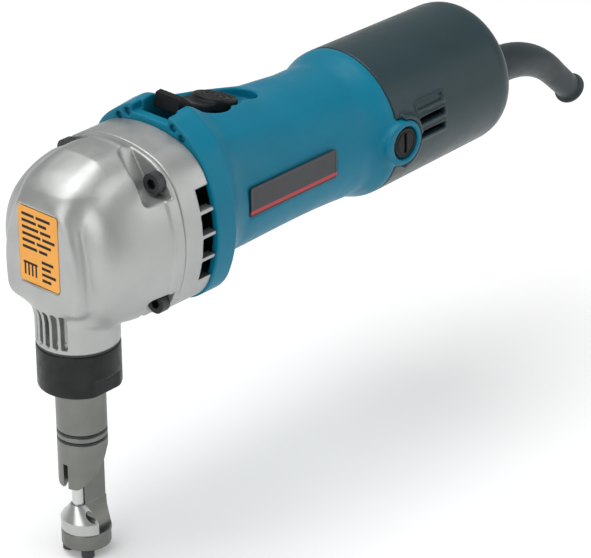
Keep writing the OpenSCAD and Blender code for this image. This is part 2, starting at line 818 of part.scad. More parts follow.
module punch_screw() {
    color([0.15, 0.15, 0.15]) translate([-punch_offset + 1.4, 0, punch_screw_z]) rotate([0, 90, 0])
        difference() {
            cylinder(h = 8.4, r = 1.58);
            translate([0, 0, 6.6]) cylinder(h = 3, r = 0.9, $fn = 6);
        }
}

// ---- die holder ----
module foot_fillet() {
    // spine's heel runs out to the foot in a quarter curve
    translate([0, spine_w / 2, 0]) rotate([90, 0, 0]) linear_extrude(spine_w) difference() {
        translate([4, -70]) square([6.4, 7]);
        translate([4, -63]) circle(6.2);
    }
}

module die_holder() {
    color([0.50, 0.50, 0.49]) difference() {
        union() {
            difference() {
                union() {
                    disc(nose_z, -nose_z, shank_r);
                    disc(-eps, 3.2, shank_r - 0.3);
                    disc(3.1, flange_top - 3.1, flange_r);
                    disc(flange_top - eps, 2.2, 10.4);
                }
                // nose: the rear is cut back to a point at the spine from both sides
                rotate([90, 0, 0]) linear_extrude(60, center = true) polygon([
                    [-9, nose_z - 1], [-9, nose_z], [0.6, nose_z + 10.2], [4.9, nose_z + 16.2],
                    [11, nose_z + 20], [20, nose_z + 20], [20, nose_z - 1]
                ]);
            }
            // spine, foot and the keel that follows the cut
            translate([-2, -spine_w / 2, foot_z + 2]) cube([12.2, spine_w, nose_z + 22 - foot_z]);
            disc(foot_z + 1, 7.3 - 1, 10.6);
            translate([0, 0, foot_z]) cylinder(h = 1.01, r1 = 9.8, r2 = 10.6);
            foot_fillet();
        }
        disc(nose_bore_z, 50, bore_r);
        translate([-punch_offset, 0, -60]) cylinder(h = 40, r = punch_r + run);
        // slot in the front of the nose
        translate([-20, -2, nose_z - 1]) cube([14, 4, 12]);
        // grooves of the two rings, bolt holes and the chip outlet
        for (z = ring_levels) difference() {
            disc(z - 0.7, 1.4, shank_r + 1);
            disc(z - 1, 2, shank_r - 0.9);
        }
        for (sy = [-1, 1]) translate([bolt_x, sy * bolt_y, foot_z - 1]) cylinder(h = 12, r = bolt_r);
    }
}

module shank_rings() {
    color([0.03, 0.03, 0.03]) for (z = ring_levels) translate([0, 0, z]) rotate_extrude()
        translate([shank_r - 0.45, 0]) circle(0.45, $fn = 16);
}

module die() {
    color([0.85, 0.85, 0.86]) translate([0, 0, foot_z + 7.35]) difference() {
        intersection() {
            union() {
                cylinder(h = 5.6, r = 10.6);
                translate([0, 0, 5.6 - eps]) hull() {
                    cylinder(h = 0.05, r = 10.6, $fn = 64);
                    translate([-punch_offset, 0, 6.1]) cylinder(h = 0.05, r = 3.3, $fn = 32);
                }
                translate([-punch_offset, 0, 5]) cylinder(h = die_z - foot_z - 7.35 - 5, r = 3.3);
            }
            translate([-20, -20, -1]) cube([17.8, 40, 20]);
        }
        translate([-punch_offset, 0, 4]) cylinder(h = 20, r = punch_r + run);
        // chips leave sideways
        translate([-punch_offset, 0, 6.6]) scale([0.75, 1, 1]) rotate([90, 0, 0])
            cylinder(h = 30, r = 2.2, center = true);
        for (sy = [-1, 1]) translate([bolt_x, sy * bolt_y, -1]) cylinder(h = 5.5, r = bolt_r);
    }
}

module die_bolts() {
    color([0.06, 0.06, 0.06]) for (sy = [-1, 1]) translate([bolt_x, sy * bolt_y, foot_z]) difference() {
        union() {
            translate([0, 0, -1]) cylinder(h = 12.5, r = bolt_r);
            translate([0, 0, -bolt_head_h]) cylinder(h = bolt_head_h, r = 2.8);
        }
        translate([0, 0, -bolt_head_h - 1]) cylinder(h = 3, r = 1.5, $fn = 6);
    }
}

module lock_nut() {
    color([0.07, 0.07, 0.07]) difference() {
        disc(0, nut_h, neck_r);
        disc(-1, 30, shank_r + run);
        disc(3, 30, flange_r + 0.2);
        disc(flange_top + 0.4, 30, pilot_r + run);
        // two spanner flats low on the sides
        for (sy = [-1, 1]) translate([-9, sy * (neck_r + 3.4) - 5, -1]) cube([18, 10, 9]);
    }
}

gear_housing();
gear_housing_cover();
bearing_plate();
plate_screws();
housing_screws();
front_label();
motor_housing();
name_plate();
rear_cover();
rear_cover_screws();
neck_seal();
ram_guide();
crank_bearings();
lay_shaft_bushes();
motor_bearings();
fan_baffle();
field_core();
field_coils();
brush_holders();
carbon_brushes();
brush_springs();
brush_caps();
switch_unit();
switch_spring_clip();
capacitor();
cord_clamp();
cord_clamp_screws();
cord_guard();
armature_shaft();
armature_core();
armature_winding();
commutator();
cooling_fan();
lay_shaft();
lay_gear();
crank_shaft();
crank_gear();
gear_clip();
connecting_rod();
rod_bearing();
ram();
wrist_pin();
retaining_pins();
punch_holder();
punch();
punch_screw();
die_holder();
shank_rings();
die();
die_bolts();
lock_nut();
switch_lever();
switch_rod();
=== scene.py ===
import json
import math

import bpy
import numpy as np
from mathutils import Matrix, Vector


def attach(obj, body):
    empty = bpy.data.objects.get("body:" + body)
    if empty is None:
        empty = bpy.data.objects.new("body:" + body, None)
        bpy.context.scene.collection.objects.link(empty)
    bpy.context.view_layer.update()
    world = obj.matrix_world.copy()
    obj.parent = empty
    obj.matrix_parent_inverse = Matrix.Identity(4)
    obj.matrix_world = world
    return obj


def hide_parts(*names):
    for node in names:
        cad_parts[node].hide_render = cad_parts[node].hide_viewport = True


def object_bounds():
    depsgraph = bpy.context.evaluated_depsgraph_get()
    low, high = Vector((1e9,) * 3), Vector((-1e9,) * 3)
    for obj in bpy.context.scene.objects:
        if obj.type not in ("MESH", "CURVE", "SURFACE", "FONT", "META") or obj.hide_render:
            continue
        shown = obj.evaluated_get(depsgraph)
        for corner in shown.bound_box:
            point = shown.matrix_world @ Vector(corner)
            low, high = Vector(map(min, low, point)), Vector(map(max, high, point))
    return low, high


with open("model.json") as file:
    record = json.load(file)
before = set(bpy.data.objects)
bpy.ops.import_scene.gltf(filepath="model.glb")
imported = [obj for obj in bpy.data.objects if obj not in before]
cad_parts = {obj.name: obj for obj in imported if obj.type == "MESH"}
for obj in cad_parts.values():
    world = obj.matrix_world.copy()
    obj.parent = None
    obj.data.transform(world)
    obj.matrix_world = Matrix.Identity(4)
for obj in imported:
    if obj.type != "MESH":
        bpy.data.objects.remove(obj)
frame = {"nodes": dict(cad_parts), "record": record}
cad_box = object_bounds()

MM = 0.001
GRID = 1.0   # coarser skins while trying things

# Places and sizes on the tool in millimetres, in the CAD frame: X runs to the rear and Z up.
AXIS_Z = 62.0                               # motor axis, which lies along X
BODY_Z = 62.5                               # middle of the plastic shells
DRUM_Z = 63.4                               # middle of the gear head
DRUM_Y_HALF, DRUM_Z_HALF = 37.4, 38.0
DRUM_WALL = 4.6
FRONT_X, RIM_X, SEAM_X = -20.0, 20.7, 27.0  # front face, start of the rim, seam with the cover ring
FLANGE_X = 45.0                             # seam between the cover ring and the motor housing
GRIP_R = 30.0
COVER_X, COVER_R, REAR_X = 161.0, 33.6, 242.0
BRUSH_X, CAP_RECESS_Y = 164.0, 32.5
SCREW_Y, SCREW_Z = 25.0, 27.0               # the long screws, out from the middle of the head
SCREW_HOLE_R = 2.65
SEAT_X, POCKET_X = 24.6, 12.0               # screw heads' seats, and where their pockets close
LABEL_Z = 68.0
PLATE_X = 99.5
PAD_X, LEVER_END_X = 84.0, 82.0             # the switch lever's round pad
VENT_X, VENT_Z, VENT_PITCH = 183.6, 60.7, 6.5
NECK_R = 17.75
NUT_H = 19.6
SHANK_R = 10.7
PUNCH_X, PUNCH_HOLE_R = -4.1, 2.45
NOSE_Z, DIE_Z, FOOT_Z = -47.0, -57.0, -76.5
FOOT_R, DIE_CONE_Z, DIE_RING_R = 10.6, -64.2, 3.25
# the cord guard: straight as far as BEND_X, then a bend, then a straight tip
GUARD_Z, GUARD_BORE_R = 54.5, 3.8
BEND_X, BEND_R, BEND, TIP = 266.0, 55.0, math.radians(44), 20.0


# ---------------------------------------------------------------- shapes as distance fields, in mm
# A field is negative inside its shape. np.maximum cuts and np.minimum joins, with a sharp edge.
def smin(a, b, k):
    """Join two fields with a fillet about k wide."""
    h = np.clip(0.5 + 0.5 * (b - a) / k, 0, 1)
    return b + (a - b) * h - k * h * (1 - h)


def smax(a, b, k):
    """Common part of two fields with an edge rounded over about k."""
    return -smin(-a, -b, k)


def rect2(u, v, half_u, half_v, r):
    """Rectangle with corners of radius r."""
    qu, qv = np.abs(u) - half_u + r, np.abs(v) - half_v + r
    return np.hypot(np.maximum(qu, 0), np.maximum(qv, 0)) + np.minimum(np.maximum(qu, qv), 0) - r


def span(t, low, high):
    """Slab between two planes."""
    return np.maximum(low - t, t - high)


def prism(outline, t, low, high, r=0.0):
    """An outline drawn out along t, with its edges rounded by r."""
    a, b = outline + r, span(t, low, high) + r
    return np.hypot(np.maximum(a, 0), np.maximum(b, 0)) + np.minimum(np.maximum(a, b), 0) - r


def curve(t, knots):
    """A smooth curve through (t, value) knots."""
    xs, ys = (np.array(v, dtype=float) for v in zip(*knots))
    slope = np.gradient(ys, xs)
    i = np.clip(np.searchsorted(xs, t) - 1, 0, len(xs) - 2)
    h = xs[i + 1] - xs[i]
    s = np.clip((t - xs[i]) / h, 0, 1)
    a, b = s * s * (3 - 2 * s), s * (1 - s)
    return ys[i] * (1 - a) + ys[i + 1] * a + h * b * (slope[i] * (1 - s) - slope[i + 1] * s)


def radius(y, z, axis_z=AXIS_Z):
    return np.hypot(y, z - axis_z)


PROBE = 0.04          # half the distance over which a field's slope is taken, in mm
SETTLE_PASSES = 2
LEAST_SLOPE_SQUARED = 0.25
MOST_MOVE = 0.45      # of a grid step


def surface_net(field, low, high, step):
    """Points in mm and quads of the field's zero surface."""
    low = np.array(low, dtype=float)
    axes = [np.arange(a, b + step, step) for a, b in zip(low, high)]
    grid = field(*np.meshgrid(*axes, indexing="ij")).astype(np.float32)
    inside = grid < 0
    size = np.array(grid.shape) - 1
    corners = [np.array((i, j, k)) for i in (0, 1) for j in (0, 1) for k in (0, 1)]
    count = sum(inside[tuple(slice(c, c + n) for c, n in zip(corner, size))].astype(np.int8)
                for corner in corners)
    cells = np.argwhere((count > 0) & (count < 8))
    index = np.full(size, -1, dtype=np.int64)
    index[tuple(cells.T)] = np.arange(len(cells))
    total, hits = np.zeros((len(cells), 3)), np.zeros(len(cells))
    quads = []
    for axis in range(3):
        unit = np.eye(3, dtype=int)[axis]
        for corner in corners:
            if corner[axis]:
                continue
            a, b = grid[tuple((cells + corner).T)], grid[tuple((cells + corner + unit).T)]
            crossing = (a < 0) != (b < 0)
            t = np.where(crossing, a / np.where(a == b, 1, a - b), 0)
            total += (corner + t[:, None] * unit) * crossing[:, None]
            hits += crossing
        u, v = np.eye(3, dtype=int)[(axis + 1) % 3], np.eye(3, dtype=int)[(axis + 2) % 3]
        start = tuple(slice(0, -1) if i == axis else slice(1, -1) for i in range(3))
        stop = tuple(slice(1, None) if i == axis else slice(1, -1) for i in range(3))
        edge = np.argwhere(inside[start] != inside[stop]) + 1 - unit
        ring = np.stack([index[tuple((edge - k).T)] for k in (0 * u, u, u + v, v)], axis=1)
        outward = inside[tuple(edge.T)]
        quads.append(np.where(outward[:, None], ring, ring[:, ::-1]))
    points = (cells + total / hits[:, None]) * step + low
    # settle each point on the surface itself
    for _ in range(SETTLE_PASSES):
        value = field(*points.T)
        rises = [field(*(points + PROBE * e).T) - field(*(points - PROBE * e).T) for e in np.eye(3)]
        slope = np.stack([rise / (2 * PROBE) for rise in rises], axis=1)
        steepness = np.maximum((slope ** 2).sum(1), LEAST_SLOPE_SQUARED)
        move = -value[:, None] * slope / steepness[:, None]
        points += np.clip(move, -MOST_MOVE * step, MOST_MOVE * step)
    return points, np.concatenate(quads)


def add_mesh(name, points_mm, faces, smooth=True):
    mesh = bpy.data.meshes.new(name)
    mesh.from_pydata(np.asarray(points_mm) * MM, [], [tuple(int(i) for i in f) for f in faces])
    mesh.validate()
    mesh.shade_smooth() if smooth else mesh.shade_flat()
    piece = bpy.data.objects.new(name, mesh)
    bpy.context.collection.objects.link(piece)
    return piece


def coat(piece, slot):
    piece.data.materials.clear()
    piece.data.materials.append(PAINTS[slot])


def stand_for(piece, body, slot, *nodes):
    """Paint a piece, put it on its body and let it stand for the CAD nodes named."""
    coat(piece, slot)
    if nodes:
        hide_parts(*nodes)
    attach(piece, body)


def skin(name, field, low, high, step, body, slot, node):
    """A piece made from a field, sampled between two corners of a box."""
    points, quads = surface_net(field, low, high, step * GRID)
    stand_for(add_mesh(name, points, quads), body, slot, node)


# ---------------------------------------------------------------- materials
class Paint:
    """A procedural material: noise and other patterns drive colour, roughness and bump."""

    def __init__(self, name, color, roughness, metallic=0.0, specular=0.5):
        self.material = bpy.data.materials.new(name)
        self.material.use_nodes = True
        self.nodes, self.links = self.material.node_tree.nodes, self.material.node_tree.links
        self.shader = self.nodes["Principled BSDF"]
        self.base = self.color = (*color, 1.0)
        self.set(self.shader, "Base Color", self.base)
        self.set(self.shader, "Roughness", roughness)
        self.set(self.shader, "Metallic", metallic)
        self.set(self.shader, "Specular IOR Level", specular)
        self.rough = roughness
        self.normal = None
        self.place = self.nodes.new("ShaderNodeTexCoord").outputs["Object"]

    def set(self, node, socket, value):
        if hasattr(value, "is_linked"):
            self.links.new(value, node.inputs[socket])
        else:
            node.inputs[socket].default_value = value

    def mapped(self, scale):
        node = self.nodes.new("ShaderNodeMapping")
        self.set(node, "Vector", self.place)
        self.set(node, "Scale", scale)
        return node.outputs["Vector"]

    def noise(self, scale, detail=3.0, rough=0.55, stretch=(1, 1, 1)):
        node = self.nodes.new("ShaderNodeTexNoise")
        self.set(node, "Vector", self.mapped(stretch) if stretch != (1, 1, 1) else self.place)
        self.set(node, "Scale", scale)
        self.set(node, "Detail", detail)
        self.set(node, "Roughness", rough)
        return node.outputs["Fac"]

    def cells(self, scale):
        node = self.nodes.new("ShaderNodeTexVoronoi")
        self.set(node, "Vector", self.place)
        self.set(node, "Scale", scale)
        return node.outputs["Distance"]

    def remap(self, value, from_low, from_high, to_low, to_high):
        node = self.nodes.new("ShaderNodeMapRange")
        for socket, v in (("Value", value), ("From Min", from_low), ("From Max", from_high),
                          ("To Min", to_low), ("To Max", to_high)):
            self.set(node, socket, v)
        return node.outputs["Result"]

    def mix(self, factor, a, b):
        node = self.nodes.new("ShaderNodeMix")
        node.data_type = "RGBA"
        self.set(node, 0, factor)
        self.set(node, 6, a)
        self.set(node, 7, b)
        return node.outputs[2]

    def times(self, a, b):
        node = self.nodes.new("ShaderNodeMath")
        node.operation = "MULTIPLY"
        self.set(node, 0, a)
        self.set(node, 1, b)
        return node.outputs[0]

    def height(self):
        node = self.nodes.new("ShaderNodeSeparateXYZ")
        self.set(node, "Vector", self.place)
        return node.outputs["Z"]

    def pointy(self, low, high):
        """1 on convex edges, 0 elsewhere."""
        pointiness = self.nodes.new("ShaderNodeNewGeometry").outputs["Pointiness"]
        return self.remap(pointiness, low, high, 0, 1)

    def tone(self, value, low, high, darker, lighter):
        """Colour varies with a pattern between two multiples of the base."""
        dark = (*(c * darker for c in self.base[:3]), 1)
        light = (*(min(c * lighter, 1) for c in self.base[:3]), 1)
        self.color = self.mix(self.remap(value, low, high, 0, 1), dark, light)
        self.set(self.shader, "Base Color", self.color)

    def recolor(self, factor, color):
        self.color = self.mix(factor, self.color, (*color, 1))
        self.set(self.shader, "Base Color", self.color)

    def gloss(self, value, low, high, spread):
        """Roughness varies with a pattern, by spread to each side."""
        varied = self.remap(value, low, high, self.rough - spread, self.rough + spread)
        self.set(self.shader, "Roughness", varied)

    def bump(self, value, strength, depth_mm):
        node = self.nodes.new("ShaderNodeBump")
        self.set(node, "Height", value)
        self.set(node, "Strength", strength)
        self.set(node, "Distance", depth_mm * MM)
        if self.normal:
            self.set(node, "Normal", self.normal)
        self.normal = node.outputs["Normal"]
        self.set(self.shader, "Normal", self.normal)


def cast_metal():
    p = Paint("cast_metal", (0.44, 0.45, 0.442), 0.42, metallic=0.82)
    p.tone(p.noise(26, 4), 0.35, 0.7, 0.94, 1.03)
    p.gloss(p.noise(90, 3), 0.35, 0.65, 0.06)
    p.bump(p.noise(2600, 2, 0.6), 0.10, 0.12)
    p.bump(p.cells(900), 0.05, 0.10)
    return p.material


def plastic(name, color, roughness, grain=0.12, specular=0.3):
    p = Paint(name, color, roughness, specular=specular)
    p.tone(p.noise(35, 4), 0.3, 0.7, 0.93, 1.05)
    p.gloss(p.noise(160, 3), 0.3, 0.7, 0.05)
    p.bump(p.cells(1500), grain, 0.06)
    p.bump(p.noise(420, 3), 0.06, 0.08)
    return p.material


def steel(name, color, roughness, brushed=(1, 1, 1), scratches=0.10, metallic=1.0):
    p = Paint(name, color, roughness, metallic=metallic)
    p.tone(p.noise(60, 5), 0.3, 0.7, 0.88, 1.08)
    p.gloss(p.noise(240, 4, stretch=brushed), 0.3, 0.7, 0.09)
    p.bump(p.noise(900, 5, 0.7, stretch=brushed), scratches, 0.06)
    # painted highlight: convex edges mixed toward a lighter colour, standing in for the light they
    # catch
    edge_highlight_color = tuple(min(c * 1.5, 0.95) for c in color)
    p.recolor(p.times(p.pointy(0.52, 0.60), 0.35), edge_highlight_color)
    return p.material


def black_oxide(name):
    p = Paint(name, (0.012, 0.014, 0.014), 0.40, metallic=0.2, specular=0.25)
    p.tone(p.noise(120, 5), 0.3, 0.7, 0.75, 1.5)
    p.gloss(p.noise(300, 4), 0.3, 0.7, 0.08)
    p.bump(p.noise(1400, 3), 0.07, 0.08)
    # painted highlight: convex edges mixed toward a lighter grey, standing in for the light they
    # catch
    p.recolor(p.times(p.pointy(0.53, 0.60), 0.4), (0.10, 0.105, 0.11))
    return p.material


def rubber():
    p = Paint("rubber", (0.018, 0.030, 0.034), 0.42, specular=0.4)
    p.tone(p.noise(80, 4), 0.3, 0.7, 0.85, 1.25)
    p.gloss(p.noise(200, 3), 0.3, 0.7, 0.07)
    p.bump(p.noise(1100, 4), 0.10, 0.06)
    return p.material


def copper_wire():
    p = Paint("copper_wire", (0.46, 0.17, 0.05), 0.35, metallic=0.8)
    wave = p.nodes.new("ShaderNodeTexWave")
    p.set(wave, "Vector", p.place)
    p.set(wave, "Scale", 420.0)
    p.set(wave, "Distortion", 1.5)
    p.tone(wave.outputs["Fac"], 0, 1, 0.55, 1.25)
    p.bump(wave.outputs["Fac"], 0.6, 0.3)
    return p.material


def orange_label():
    p = Paint("orange_label", (0.83, 0.36, 0.045), 0.42)
    p.tone(p.noise(60, 4), 0.3, 0.7, 0.94, 1.05)
    p.gloss(p.noise(180, 3), 0.3, 0.7, 0.06)
    p.bump(p.noise(700, 3), 0.04, 0.05)
    return p.material


def dark_plate():
    p = Paint("dark_plate", (0.020, 0.023, 0.028), 0.34)
    p.tone(p.noise(60, 4), 0.3, 0.7, 0.9, 1.15)
    # red stripe along the lower edge, between two heights in metres
    z = p.height()
    p.recolor(p.times(p.remap(z, 0.0587, 0.0588, 0, 1), p.remap(z, 0.0603, 0.0604, 1, 0)),
              (0.42, 0.018, 0.03))
    p.gloss(p.noise(180, 3), 0.3, 0.7, 0.05)
    p.bump(p.noise(700, 3), 0.04, 0.05)
    return p.material


PAINTS = {
    "cast_aluminium": cast_metal(),
    "inner_aluminium": steel("inner_aluminium", (0.52, 0.52, 0.51), 0.5, metallic=0.8),
    "blue_plastic": plastic("blue_plastic", (0.0008, 0.165, 0.262), 0.42, specular=0.2),
    "charcoal_plastic": plastic("charcoal_plastic", (0.018, 0.040, 0.047), 0.36, specular=0.35),
    "black_plastic": plastic("black_plastic", (0.005, 0.006, 0.007), 0.45, grain=0.2,
                             specular=0.22),
    "capacitor_plastic": plastic("capacitor_plastic", (0.10, 0.055, 0.012), 0.4, grain=0.03),
    "black_steel": black_oxide("black_steel"),
    "black_oxide": black_oxide("black_oxide"),
    "zinc_steel": steel("zinc_steel", (0.55, 0.55, 0.56), 0.35),
    "ground_steel": steel("ground_steel", (0.50, 0.51, 0.52), 0.28, brushed=(1, 30, 30)),
    "gear_steel": steel("gear_steel", (0.36, 0.37, 0.39), 0.36),
    "bearing_steel": steel("bearing_steel", (0.62, 0.63, 0.65), 0.18),
    "polished_steel": steel("polished_steel", (0.50, 0.51, 0.50), 0.30,
                            brushed=(8, 8, 60), scratches=0.06),
    "holder_steel": steel("holder_steel", (0.20, 0.205, 0.19), 0.42,
                          brushed=(3, 3, 60), scratches=0.12),
    "lamination_steel": steel("lamination_steel", (0.26, 0.27, 0.29), 0.45,
                              brushed=(60, 1, 1), scratches=0.5),
    "bronze": steel("bronze", (0.52, 0.34, 0.13), 0.35),
    "brass": steel("brass", (0.62, 0.45, 0.16), 0.30),
    "copper": steel("copper", (0.62, 0.28, 0.12), 0.28, brushed=(40, 1, 1)),
    "copper_wire": copper_wire(),
    "carbon": plastic("carbon", (0.02, 0.02, 0.021), 0.6, grain=0.3),
    "black_rubber": rubber(),
    "orange_label": orange_label(),
    "dark_plate": dark_plate(),
}


# ---------------------------------------------------------------- gear housing
SIDE_R, TOP_R = 57, 62      # how the head's sides and its top and bottom bulge


def crowned(y, z, half_y=DRUM_Y_HALF, half_z=DRUM_Z_HALF):
    """Square with bulging sides, the outline of the gear head."""
    v = np.abs(z - DRUM_Z)
    side = np.hypot(np.abs(y) + SIDE_R - half_y, v) - SIDE_R
    top = np.hypot(y, v + TOP_R - half_z) - TOP_R
    return smax(side, top, 5)


def corner_pockets(y, z):
    """The four pockets round the long screws' heads: slanted above, round-cornered below."""
    side, v = np.abs(y), z - DRUM_Z
    slanted = -(0.831 * (side - 18.7) + 0.556 * (v - 23.6))
    upper = smax(slanted, 21.5 - v, 4)
    r = 6.5
    a, b = 18.5 - side + r, 20.5 + v + r
    lower = np.hypot(np.maximum(a, 0), np.maximum(b, 0)) + np.minimum(np.maximum(a, b), 0) - r
    return np.where(v > 0, upper, lower)


def screw_distance(y, z):
    """Distance from the nearest long screw's axis."""
    return np.hypot(np.abs(y) - SCREW_Y, np.abs(z - DRUM_Z) - SCREW_Z)


def brush_distance(x, z):
    """Distance from the brushes' axis."""
    return np.hypot(x - BRUSH_X, z - AXIS_Z)


def chamber_outline(y, z):
    return crowned(y, z, DRUM_Y_HALF - DRUM_WALL, DRUM_Z_HALF - DRUM_WALL)


def gear_housing(x, y, z):
    grow = np.clip((x - 7) / 14, 0, 1) ** 2
    body = crowned(y, z, 36.0 + 0.7 * grow, 36.6 + 0.7 * grow)
    front = curve(x, [(-24, 25), (-14, 29.8), (-6, 34), (2, 38.2), (12, 42.5), (26, 46)])
    body = smax(smax(body, (radius(y, z, 63.0) - front) * 0.94, 7), -14.0 - x, 10)
    body = smin(body, prism(crowned(y, z), x, RIM_X, SEAM_X, 0.5), 0.5)
    # front boss, narrower towards its top, which slopes up to the drum
    half = curve(z, [(20, 18.6), (34, 19.8), (46, 21.4), (62, 21.7), (80, 17.5), (95, 12.5),
                     (110, 11.5)])
    boss = smax((np.abs(y) - half) * 0.95, FRONT_X - x, 4.5 + 5 * np.clip((z - 74) / 20, 0, 1))
    boss = smax(boss, (z - np.minimum(91.0 + 0.42 * (x + 18), 100.5)) * 0.92, 7)
    boss = smax(smax(boss, 39.0 - z, 8), x - 19, 2)
    body = smin(body, boss, 1.6 + 6.4 * np.clip((z - 79) / 13, 0, 1))
    neck = smax(np.hypot(x, y) - NECK_R, span(z, NUT_H + 0.9, 60), 0.5)
    body = smin(body, neck, 6 * np.clip((z - 24) / 10, 0.08, 1))
    # pockets with the screws' seats
    pockets = smax(corner_pockets(y, z), (POCKET_X - x) * 0.85 + 0.25 * (25 - np.abs(y)), 3)
    body = smax(body, -np.maximum(pockets, x - SEAT_X), 0.6)
    body = smax(body, -np.maximum(screw_distance(y, z) - SCREW_HOLE_R, SEAT_X - 6 - x), 0.2)
    # label recess
    recess = prism(rect2(y, z - LABEL_Z, 11.7, 17.2, 2), x, -30, FRONT_X + 0.8, 0.1)
    body = smax(body, -recess, 0.35)
    outside = body
    # five slots round the neck's front
    angle = np.degrees(np.arctan2(y, -x))
    pitch = 13.6
    near = (angle - pitch * np.clip(np.round(angle / pitch), -2, 2)) * math.pi / 180 * NECK_R
    slots = rect2(near, z - 30.5, 1.45, 8.2, 1.4)
    body = smax(body, -smax(slots, 13.9 - np.hypot(x, y), 0.5), 0.45)
    # the ring inside the nut, then the gear chamber, the rod's room and the ram's bore
    spigot = smax(np.hypot(x, y) - 14.4, span(z, 6.7, 24), 0.4)
    body = np.minimum(body, spigot)
    chamber = np.maximum(chamber_outline(y, z), span(x, 6.5, 40))
    chamber = np.minimum(chamber, np.maximum(rect2(y, z - DRUM_Z, 26, 27, 15), span(x, -3, 9)))
    chamber = np.maximum(chamber, 2 - corner_pockets(y, z))
    chamber = np.minimum(chamber, prism(radius(y, z) - 18.4, x, -15, 20))
    chamber = np.minimum(chamber, prism(np.hypot(x, y) - 13.4, z, 23.5, 64))
    # at least 2 mm of wall
    chamber = np.maximum(chamber, np.where(x < SEAM_X - 2.5, outside + 2, -1))
    chamber = np.minimum(chamber, prism(np.hypot(x, y) - 10.5, z, 0, 30))
    return np.maximum(body, -chamber)


def gear_cover(x, y, z):
    body = prism(crowned(y, z), x, SEAM_X + 0.16, FLANGE_X - 0.1, 0.35)
    inner = chamber_outline(y, z)
    body = np.maximum(body, -prism(inner, x, 20, 29))
    body = np.maximum(body, -prism(inner, x, 36.5, 50))
    # seats of the motor's bearing and of the lay shaft above it, and the screws' holes
    body = np.maximum(body, 12.02 - radius(y, z))
    body = np.maximum(body, 4.62 - np.hypot(y, z - AXIS_Z - 18.9))
    body = np.maximum(body, SCREW_HOLE_R - screw_distance(y, z))
    # four windows each side, parted by thin ribs
    pitch, middle = 10.6, 64.0
    row = z - middle + 1.5 * pitch
    near = row - pitch * np.clip(np.round(row / pitch), 0, 3)
    window = np.maximum(np.maximum(np.abs(near) - 4.5, 37.2 - x), 20 - np.abs(y))
    return smax(body, -window, 0.3)


# ---------------------------------------------------------------- motor housing
def flange_outline(y, z):
    """Front outline of the motor housing: rounded sides, with the ears' slopes on top."""
    side = np.abs(y)
    low = crowned(y, z, DRUM_Y_HALF + 1, DRUM_Z_HALF + 1)
    bulge = np.hypot(side + 56 - DRUM_Y_HALF, z - DRUM_Z) - 57
    slopes = (0.51 * side + 0.826 * z - 94.9) / 0.971
    high = smax(smax(slopes, bulge, 2.5), z - 107.4, 2)
    return np.where(z < DRUM_Z, low, high)


def flange_radius():
    """The outline's distance from the motor axis, for angles from the top down to the bottom."""
    angle = np.linspace(0, math.pi, 181)
    near, far = np.full_like(angle, 20), np.full_like(angle, 60)
    for _ in range(24):
        middle = (near + far) / 2
        inside = flange_outline(middle * np.sin(angle), AXIS_Z + middle * np.cos(angle)) < 0
        near, far = np.where(inside, middle, near), np.where(inside, far, middle)
    return angle, near


FLANGE_ANGLE, FLANGE_R = flange_radius()


